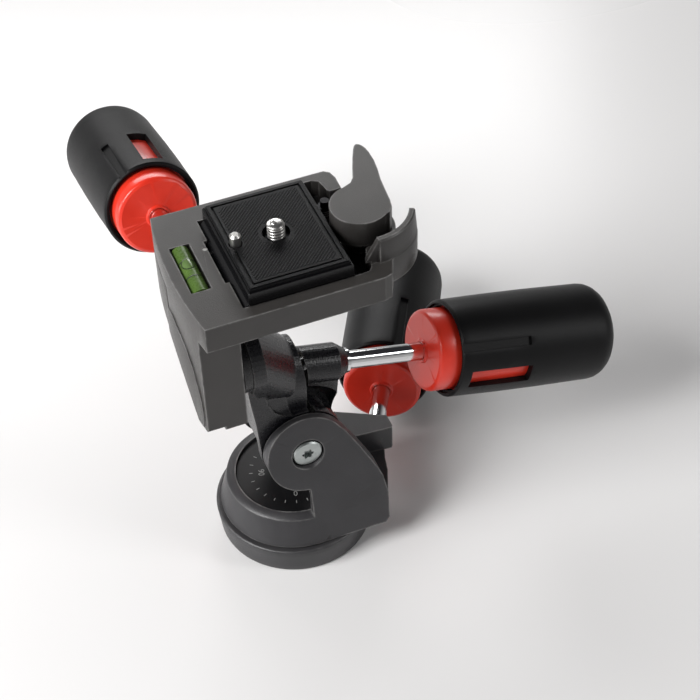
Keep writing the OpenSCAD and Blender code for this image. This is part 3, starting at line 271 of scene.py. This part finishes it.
patchy_highlight = math_node(edge_highlight_group, "MULTIPLY", convex_edge_mask, edge_highlight_strength.outputs["Result"])
edge_highlight_group.links.new(patchy_highlight, leave.inputs["Edge"])


def place_group(tree, group, position, **values):
    """A node group placed in a material, fed with a position."""
    node = tree.nodes.new("ShaderNodeGroup")
    node.node_tree = group
    tree.links.new(position, node.inputs["Position"])
    for label, value in values.items():
        node.inputs[label.replace("_", " ")].default_value = value
    return node


def own_position(tree):
    """The place on the piece itself, so that a finish moves with it."""
    return tree.nodes.new("ShaderNodeTexCoord").outputs["Object"]


def bump(tree, shader, height_socket, depth):
    """Raises the surface by a height socket, up to a depth in metres."""
    node = add(tree, "Bump", [("Height", height_socket)], Strength=1.0, Distance=depth)
    tree.links.new(node.outputs["Normal"], shader.inputs["Normal"])


def powder_paint(name, dark, light, rough, dust, speckle=0.00035, edge_highlight_strength=0.85):
    """Fine textured satin paint on cast metal, with a painted highlight on its outward edges and a
    film of dust.
    """
    material, tree, shader = new_material(name)
    position = own_position(tree)
    grain = place_group(tree, grain_group, position, Speckle_Size=speckle, Blotch_Size=0.018)
    film = place_group(tree, dust_group, position)
    tone = math_node(tree, "ADD", math_node(tree, "MULTIPLY", grain.outputs["Speckle"], 0.45),
                     math_node(tree, "MULTIPLY", grain.outputs["Blotch"], 0.55))
    paint = blend_colours(tree, tone, dark, light)
    dusted = blend_colours(tree, math_node(tree, "MULTIPLY", film.outputs["Dust"], dust),
                           paint, (0.34, 0.32, 0.30))
    edges = place_group(tree, edge_highlight_group, position)
    # Painted highlight: a light grey laid on the outward edges, where light would catch them
    tree.links.new(blend_colours(tree, math_node(tree, "MULTIPLY", edges.outputs["Edge"], edge_highlight_strength),
                                 dusted, (0.20, 0.195, 0.19)), shader.inputs["Base Color"])
    tree.links.new(spread(tree, grain.outputs["Speckle"], rough - 0.07, rough + 0.07),
                   shader.inputs["Roughness"])
    shader.inputs["Specular IOR Level"].default_value = 0.5
    bump(tree, shader, grain.outputs["Speckle"], 0.00003)
    return material


def dress(material, *names):
    """Gives CAD pieces their finish."""
    for name in names:
        slots = nodes[name].data.materials
        if not slots:
            slots.append(material)
        for index in range(len(slots)):
            slots[index] = material


def ease_edges(width, *names, angle=32):
    """Breaks the sharp edges of CAD pieces, as a deburred casting has them."""
    for name in names:
        piece = nodes[name]
        weld = piece.modifiers.new("weld", "WELD")
        weld.merge_threshold = 0.000002     # joins the points that the CAD mesh repeats
        rounding = piece.modifiers.new("eased edges", "BEVEL")
        rounding.width = width
        rounding.segments = 2
        rounding.limit_method = "ANGLE"
        rounding.angle_limit = math.radians(angle)


housing_paint = powder_paint("housing powder paint", (0.018, 0.0175, 0.0195), (0.034, 0.033, 0.036),
                             0.40, dust=0.05)
dress(housing_paint, "base_disc", "pan_body")


def machined_metal(name, dark, light, rough, line=0.0002):
    """Bare metal with faint machining lines and a few duller patches."""
    material, tree, shader = new_material(name)
    position = own_position(tree)
    lines = place_group(tree, lines_group, position, Line_Size=line)
    grain = place_group(tree, grain_group, position, Speckle_Size=0.0006, Blotch_Size=0.006)
    shader.inputs["Metallic"].default_value = 1
    tree.links.new(blend_colours(tree, lines.outputs["Lines"], dark, light),
                   shader.inputs["Base Color"])
    tree.links.new(spread(tree, grain.outputs["Blotch"], rough - 0.05, rough + 0.08),
                   shader.inputs["Roughness"])
    bump(tree, shader, lines.outputs["Lines"], 0.000003)
    return material


bright_steel = machined_metal("bright steel", (0.50, 0.49, 0.47), (0.68, 0.67, 0.65), 0.33)
black_screw = machined_metal("blackened screw", (0.02, 0.02, 0.022), (0.05, 0.05, 0.052), 0.36)
dress(bright_steel, "thread_bushing")
dress(black_screw, "base_screws")


# ---- Post and dial ----
# The aluminium post rises through the housing. Its top carries a black dial with ticks and
# numerals in a dull white, read beside the fork. A black washer keeps foot and housing apart.

def smooth_polymer(name, colour, rough, depth=0.00001):
    """Moulded or printed plastic with a faint skin and small changes of gloss."""
    material, tree, shader = new_material(name)
    grain = place_group(tree, grain_group, own_position(tree),
                        Speckle_Size=0.0005, Blotch_Size=0.01)
    lighter = tuple(min(1.0, channel * 1.25 + 0.002) for channel in colour)
    tree.links.new(blend_colours(tree, grain.outputs["Blotch"], colour, lighter),
                   shader.inputs["Base Color"])
    tree.links.new(spread(tree, grain.outputs["Speckle"], rough - 0.05, rough + 0.05),
                   shader.inputs["Roughness"])
    bump(tree, shader, grain.outputs["Speckle"], depth)
    return material


post_alloy = machined_metal("turned post alloy", (0.52, 0.52, 0.53), (0.70, 0.70, 0.71), 0.3)
dial_black = smooth_polymer("black dial print", (0.002, 0.002, 0.0025), 0.42, depth=0.000004)
washer_black = smooth_polymer("black washer polymer", (0.012, 0.012, 0.012), 0.55)
dial_white = smooth_polymer("white dial print", (0.20, 0.20, 0.195), 0.5)
dress(post_alloy, "pan_column")
dress(dial_black, "dial_plate")
dress(washer_black, "pan_washer")

dial_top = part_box("dial_plate")[1][2]
tick_zero = 254                     # direction of the zero mark, degrees from +X
tick_step = 15                      # degrees between two ticks
tick_width = 0.30 * MM
tick_ring = 16.6 * MM
tick_length = 1.4 * MM
tick_print = 0.03 * MM              # how far the print stands up
numeral_ring = 12.6 * MM
numeral_size = 3.4 * MM
numeral_step = 90                   # degrees between two numerals


def add_bar(bm, start, end, width, low, high):
    """A flat bar between two points of a level plane."""
    along = (Vector(end) - Vector(start)).normalized()
    side = Vector((-along.y, along.x)) * width / 2
    ring = [Vector(start) - side, Vector(end) - side, Vector(end) + side, Vector(start) + side]
    bottom = [bm.verts.new((p.x, p.y, low)) for p in ring]
    top = [bm.verts.new((p.x, p.y, high)) for p in ring]
    bm.faces.new(top)
    bm.faces.new(bottom[::-1])
    for i in range(4):
        bm.faces.new((bottom[i], bottom[(i + 1) % 4], top[(i + 1) % 4], top[i]))


bm = bmesh.new()
for mark in range(360 // tick_step):
    angle = math.radians(tick_zero - mark * tick_step)
    ray = Vector((math.cos(angle), math.sin(angle)))
    add_bar(bm, ray * (tick_ring - tick_length / 2), ray * (tick_ring + tick_length / 2),
            tick_width, dial_top - tick_print, dial_top + tick_print)
dial_ticks = mesh_piece("dial_ticks", bm, dial_white, smooth=False)
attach(dial_ticks, "base")

for reading in range(0, 360, numeral_step):
    angle = math.radians(tick_zero - reading)
    text = bpy.data.curves.new("numeral", "FONT")
    text.body = str(reading)
    text.size = numeral_size
    text.align_x = "CENTER"
    text.align_y = "CENTER"
    text.extrude = tick_print
    text.materials.append(dial_white)
    numeral = bpy.data.objects.new(f"dial_numeral_{reading}", text)
    bpy.context.scene.collection.objects.link(numeral)
    numeral.location = (numeral_ring * math.cos(angle), numeral_ring * math.sin(angle),
                        dial_top + tick_print / 2)
    numeral.rotation_euler = (0, 0, angle + math.pi / 2)
    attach(numeral, "base")


# ---- Housing and tilt joint ----
# The cast housing turns on the post and rises into a fork. A bolt with a six lobed socket runs
# through both cheeks and a steel sleeve, and black washers keep the arm off the cheeks. The
# brass inserts take the threads of the locks.

zinc_plate = machined_metal("zinc plated steel", (0.36, 0.39, 0.38), (0.50, 0.53, 0.52), 0.34,
                            line=0.0004)
brass = machined_metal("brass", (0.52, 0.36, 0.13), (0.70, 0.50, 0.20), 0.28)
dress(zinc_plate, "tilt_bolt", "tilt_nut", "side_retainer")
dress(bright_steel, "tilt_axle")
dress(washer_black, "tilt_washers", "side_washer")
dress(brass, "pan_lock_shoe", "tilt_lock_insert", "side_lock_insert")
dress(black_screw, "side_retainer_screw", "lever_pivot_screw", "trigger_pin", "screw_clip")
ease_edges(0.35 * MM, "pan_body", "base_disc")


# ---- Tilting arm ----
# One black casting: hub between the cheeks, ear for the tilt lock, and the flange and spindle
# the platform turns on. Its paint is darker and coarser, and it glints on the rounded ear.

arm_paint = powder_paint("arm casting paint", (0.003, 0.003, 0.0045), (0.0065, 0.0065, 0.009), 0.30,
                         dust=0.006, speckle=0.0007, edge_highlight_strength=0.30)
dress(arm_paint, "arm")
ease_edges(0.25 * MM, "arm", angle=40)


# ---- Platform, limb and cover ----
# The platform and its limb are one casting in the housing's grey, warmer on top where the paint
# has been handled. A thin pressed cover closes the limb's outer face.

top_paint = powder_paint("platform powder paint", (0.021, 0.0195, 0.0185), (0.037, 0.034, 0.032),
                         0.38, dust=0.06)
dress(top_paint, "top_body", "limb_cover", "lever")
ease_edges(0.35 * MM, "top_body", "lever")
ease_edges(0.15 * MM, "limb_cover")


# ---- Level ----
# A clear tube of green liquid lies in a slot of the platform. Two dark rings mark its middle,
# and the bubble has drifted towards the far one. Its lighter green is a painted highlight, and its
# dark rim is painted shade.

vial_low, vial_high = (Vector(corner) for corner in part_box("level_vial"))
vial_radius = (vial_high.x - vial_low.x) / 2
vial_middle = (vial_low + vial_high) / 2

vial_mat, tree, shader = new_material("green level liquid")
position = own_position(tree)
grain = place_group(tree, grain_group, position, Speckle_Size=0.0008, Blotch_Size=0.007)
tree.links.new(blend_colours(tree, grain.outputs["Blotch"],
                             (0.055, 0.105, 0.018), (0.095, 0.165, 0.035)),
               shader.inputs["Base Color"])
tree.links.new(spread(tree, grain.outputs["Speckle"], 0.24, 0.32), shader.inputs["Roughness"])
shader.inputs["Specular IOR Level"].default_value = 0.35
dress(vial_mat, "level_vial")

ring_print_and_rim_shade = smooth_polymer("level ring print and bubble rim shade", (0.012, 0.020, 0.008), 0.3)
# The bubble's lighter green is a painted highlight, for the light that the air in it sends back
bubble_highlight_mat, tree, shader = new_material("level bubble painted highlight")
grain = place_group(tree, grain_group, own_position(tree), Speckle_Size=0.0008, Blotch_Size=0.003)
tree.links.new(blend_colours(tree, grain.outputs["Blotch"],
                             (0.085, 0.14, 0.045), (0.12, 0.19, 0.065)),
               shader.inputs["Base Color"])
tree.links.new(spread(tree, grain.outputs["Speckle"], 0.08, 0.14), shader.inputs["Roughness"])


def tube_point(angle, along, radius):
    """A point on the vial's skin: angle 0 is straight up."""
    return (vial_middle.x + radius * math.sin(angle), vial_middle.y + along,
            vial_middle.z + radius * math.cos(angle))


ring_half = 0.3 * MM
ring_rise = 0.05 * MM
ring_offset = 4.2 * MM              # each ring's distance from the vial's middle
ring_steps = 40
ring_start, ring_sweep = -85, 170   # degrees round the vial, from straight up
ring_profile = ((0, -1), (ring_rise, -0.6), (ring_rise, 0.6), (0, 1))   # rise, place in half widths
bm = bmesh.new()
for side in (-1, 1):
    hoops = []
    for rise, edge in ring_profile:
        along = side * ring_offset + edge * ring_half
        turns = [math.radians(ring_start + ring_sweep * i / ring_steps)
                 for i in range(ring_steps + 1)]
        hoops.append([bm.verts.new(tube_point(turn, along, vial_radius + rise))
                      for turn in turns])
    for a, b in zip(hoops, hoops[1:]):
        for i in range(ring_steps):
            bm.faces.new((a[i], a[i + 1], b[i + 1], b[i]))
level_rings = mesh_piece("level_rings", bm, ring_print_and_rim_shade)
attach(level_rings, "top")

bubble_along = 2.9 * MM             # half of the bubble's length
bubble_round = math.radians(42)     # half of its width, round the vial
bubble_shift = 2.2 * MM
bubble_swell = 0.12 * MM
bubble_sink = 0.01 * MM
bubble_steps = 12
bubble_sides = 32
rim_shade_strips = 2                      # outermost strips, which carry the painted shade of the dark rim
bm = bmesh.new()
rings = []
for i in range(bubble_steps + 1):
    share = i / bubble_steps
    swell = bubble_swell * math.sqrt(max(0.0, 1 - share * share))
    rings.append([bm.verts.new(tube_point(bubble_round * share * math.cos(turn),
                                          bubble_shift + bubble_along * share * math.sin(turn),
                                          vial_radius + swell - bubble_sink))
                  for turn in (2 * math.pi * j / bubble_sides for j in range(bubble_sides))])
for strip, (a, b) in enumerate(zip(rings[1:], rings[2:]), start=1):
    for j in range(bubble_sides):
        face = bm.faces.new((a[j], b[j], b[(j + 1) % bubble_sides], a[(j + 1) % bubble_sides]))
        face.material_index = 1 if strip >= bubble_steps - rim_shade_strips else 0
for j in range(bubble_sides):
    bm.faces.new((rings[0][0], rings[1][j], rings[1][(j + 1) % bubble_sides]))
bmesh.ops.remove_doubles(bm, verts=bm.verts, dist=1e-7)
bmesh.ops.delete(bm, geom=[v for v in bm.verts if not v.link_faces], context="VERTS")
level_bubble = mesh_piece("level_bubble", bm, bubble_highlight_mat)
# The outer strips take the dark ring print as painted shade for the bubble's rim
level_bubble.data.materials.append(ring_print_and_rim_shade)
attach(level_bubble, "top")


# ---- Release plate ----
# A black anodised plate in the platform's seat, with a ribbed rubber pad let into its top.
# A spring pin beside the camera screw keeps a camera from twisting.

def anodised(name, dark, light, rough):
    """Black anodised aluminium: an even, hard satin skin."""
    material, tree, shader = new_material(name)
    grain = place_group(tree, grain_group, own_position(tree),
                        Speckle_Size=0.0003, Blotch_Size=0.012)
    tree.links.new(blend_colours(tree, grain.outputs["Blotch"], dark, light),
                   shader.inputs["Base Color"])
    tree.links.new(spread(tree, grain.outputs["Speckle"], rough - 0.05, rough + 0.05),
                   shader.inputs["Roughness"])
    shader.inputs["Specular IOR Level"].default_value = 0.4
    bump(tree, shader, grain.outputs["Speckle"], 0.00001)
    return material


def rubber(name, dark, light, rough, speckle=0.0005, depth=0.00004, dust=0.05):
    """Matt black rubber with a sheen at grazing angles and a little dust."""
    material, tree, shader = new_material(name)
    position = own_position(tree)
    grain = place_group(tree, grain_group, position, Speckle_Size=speckle, Blotch_Size=0.02)
    film = place_group(tree, dust_group, position)
    black = blend_colours(tree, grain.outputs["Blotch"], dark, light)
    tree.links.new(blend_colours(tree, math_node(tree, "MULTIPLY", film.outputs["Dust"], dust),
                                 black, (0.25, 0.24, 0.23)), shader.inputs["Base Color"])
    tree.links.new(spread(tree, grain.outputs["Speckle"], rough - 0.06, rough + 0.06),
                   shader.inputs["Roughness"])
    shader.inputs["Specular IOR Level"].default_value = 0.18
    bump(tree, shader, grain.outputs["Speckle"], depth)
    return material


plate_black = anodised("black anodised plate", (0.0025, 0.0025, 0.003), (0.0045, 0.0045, 0.005),
                       0.24)
pad_rubber = rubber("pad rubber", (0.0018, 0.0018, 0.0022), (0.0034, 0.0034, 0.004), 0.46,
                    dust=0.003)
dress(plate_black, "qr_plate")
dress(pad_rubber, "rubber_pad")
ease_edges(0.3 * MM, "qr_plate")

pad_low, pad_high = (Vector(corner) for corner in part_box("rubber_pad"))
pad_top = pad_high.z
rib_pitch = 1.0 * MM
rib_width = 0.55 * MM
rib_rise = 0.2 * MM
rib_border = 3.6 * MM               # margin of the ribbed field inside the pad
rib_slant = math.radians(45)        # direction of the ribs in plan
field_reach = 32 * MM               # further than the field goes from the pad's middle
rib_sink = 0.02 * MM                # how far their feet lie in the pad
rib_shortest = 0.8 * MM             # shorter stretches are left out
screw_middle = Vector((0, 0.5 * MM))
pin_middle = Vector((-14.8 * MM, 0.5 * MM))
bare_rounds = ((screw_middle, 6.4 * MM), (pin_middle, 3.2 * MM))    # no ribs round the holes


def rib_spans(offset):
    """The stretches of one slanted rib that lie in the field and clear of the two holes."""
    along = Vector((math.cos(rib_slant), math.sin(rib_slant)))
    side = Vector((-along.y, along.x))
    start = (pad_low.xy + pad_high.xy) / 2 + side * offset
    first, last = -field_reach, field_reach
    for axis in (0, 1):
        low = pad_low[axis] + rib_border
        high = pad_high[axis] - rib_border
        ends = sorted(((low - start[axis]) / along[axis], (high - start[axis]) / along[axis]))
        first, last = max(first, ends[0]), min(last, ends[1])
    spans = [(first, last)]
    for middle, radius in bare_rounds:
        reach = (middle - start).dot(along)
        gap = (middle - start).length_squared - reach * reach
        if gap < radius * radius:
            half = math.sqrt(radius * radius - gap)
            spans = [piece for low, high in spans
                     for piece in ((low, min(high, reach - half)), (max(low, reach + half), high))]
    return start, along, side, [(low, high) for low, high in spans if high - low > rib_shortest]


rib_profile = ((-rib_width / 2, 0), (-rib_width / 5, rib_rise),
               (rib_width / 5, rib_rise), (rib_width / 2, 0))
bm = bmesh.new()
for count in range(int(-field_reach / rib_pitch), int(field_reach / rib_pitch) + 1):
    start, along, side, spans = rib_spans(count * rib_pitch)
    for span in spans:
        a, b = ([bm.verts.new((*(start + along * reach + side * across), pad_top - rib_sink + up))
                 for across, up in rib_profile] for reach in span)
        for i in range(4):
            bm.faces.new((a[i], b[i], b[(i + 1) % 4], a[(i + 1) % 4]))
        bm.faces.new(a)
        bm.faces.new(b[::-1])
bmesh.ops.recalc_face_normals(bm, faces=bm.faces)
pad_ribs = mesh_piece("pad_ribs", bm, pad_rubber, smooth=False)
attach(pad_ribs, "top")


# ---- Camera screw and anti-twist pin ----
# The camera screw is rolled steel with a quarter inch thread, held in the plate by a clip. The
# pin beside it is a plain turned steel peg on a spring.

screw_low, screw_high = (Vector(corner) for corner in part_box("camera_screw"))
screw_major = 3.175 * MM
screw_minor = 2.4 * MM
screw_pitch = 25.4 / 20 * MM
flank_slope = 3.4                   # a flank takes 1 / 3.4 of the pitch
screw_head_height = 3.0 * MM
screw_head_top = screw_low.z + screw_head_height
screw_head_r = (screw_high.x - screw_low.x) / 2
screw_sides = 48
screw_levels = 110                  # rings of the threaded part
crown_height = 1.1 * MM             # rounded end of the thread
crown_drop = 1.3 * MM


def thread_radius(height, angle):
    """Radius of the rolled thread at a height and an angle round the screw."""
    turn = (height / screw_pitch - angle / (2 * math.pi)) % 1
    tooth = min(1, max(0, flank_slope / 2 - flank_slope * abs(turn - 0.5)))
    fade = min(1, (screw_high.z - height) / crown_height)
    crest = screw_minor + (screw_major - screw_minor) * tooth
    return crest - (1 - fade) ** 2 * crown_drop


def screw_ring(bm, height, radius_at):
    """A ring of vertices round the screw, its radius given by a rule for height and angle."""
    turns = [2 * math.pi * j / screw_sides for j in range(screw_sides)]
    return [bm.verts.new((radius_at(height, turn) * math.cos(turn),
                          screw_middle.y + radius_at(height, turn) * math.sin(turn), height))
            for turn in turns]


bm = bmesh.new()
rings = [screw_ring(bm, height, lambda height, turn: screw_head_r)
         for height in (screw_low.z, screw_head_top)]
rings += [screw_ring(bm, screw_head_top + (screw_high.z - screw_head_top) * i / screw_levels,
                     thread_radius)
          for i in range(screw_levels + 1)]
for a, b in zip(rings, rings[1:]):
    for j in range(screw_sides):
        bm.faces.new((a[j], a[(j + 1) % screw_sides], b[(j + 1) % screw_sides], b[j]))
bm.faces.new(rings[0][::-1])
bm.faces.new(rings[-1])
camera_screw = mesh_piece("camera_screw_threaded", bm, bright_steel)
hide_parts("camera_screw")
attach(camera_screw, "plate_screw")
dress(bright_steel, "camera_screw", "video_pin", "stop_pin",
      "pin_spring", "trigger_spring", "lever_spring")


# ---- Lock handles ----
# Each lock is a chromed rod screwed into the head. A red plastic hub runs on the rod and shows
# through the windows of the black rubber grip, which slides in over the rod for carrying.

def chromed_rod(name):
    """Polished chrome plating with faint smears."""
    material, tree, shader = new_material(name)
    grain = place_group(tree, grain_group, own_position(tree),
                        Speckle_Size=0.0015, Blotch_Size=0.012)
    shader.inputs["Metallic"].default_value = 1
    tree.links.new(blend_colours(tree, grain.outputs["Blotch"],
                                 (0.70, 0.71, 0.72), (0.80, 0.81, 0.82)),
                   shader.inputs["Base Color"])
    tree.links.new(spread(tree, grain.outputs["Blotch"], 0.06, 0.14), shader.inputs["Roughness"])
    return material


def red_hub_plastic(name):
    """Satin red moulded plastic whose tone changes a little across each piece."""
    material, tree, shader = new_material(name)
    grain = place_group(tree, grain_group, own_position(tree),
                        Speckle_Size=0.0008, Blotch_Size=0.014)
    tree.links.new(blend_colours(tree, grain.outputs["Blotch"],
                                 (0.70, 0.030, 0.014), (0.80, 0.040, 0.018)),
                   shader.inputs["Base Color"])
    tree.links.new(spread(tree, grain.outputs["Blotch"], 0.28, 0.36), shader.inputs["Roughness"])
    shader.inputs["Coat Weight"].default_value = 0.15
    shader.inputs["Coat Roughness"].default_value = 0.12
    bump(tree, shader, grain.outputs["Blotch"], 0.00002)
    return material


rod_chrome = chromed_rod("chromed rod")
hub_red = red_hub_plastic("red hub plastic")
grip_rubber = rubber("grip rubber", (0.0022, 0.0022, 0.0026), (0.0045, 0.0045, 0.005), 0.44,
                     speckle=0.0004, depth=0.00002, dust=0.012)
for lock in ("pan", "tilt", "side"):
    dress(rod_chrome, lock + "_shaft", lock + "_lock_collar")
    dress(zinc_plate, lock + "_stop")
    dress(hub_red, lock + "_core")
    dress(grip_rubber, lock + "_grip")
    ease_edges(0.3 * MM, lock + "_core")
    ease_edges(0.4 * MM, lock + "_grip")
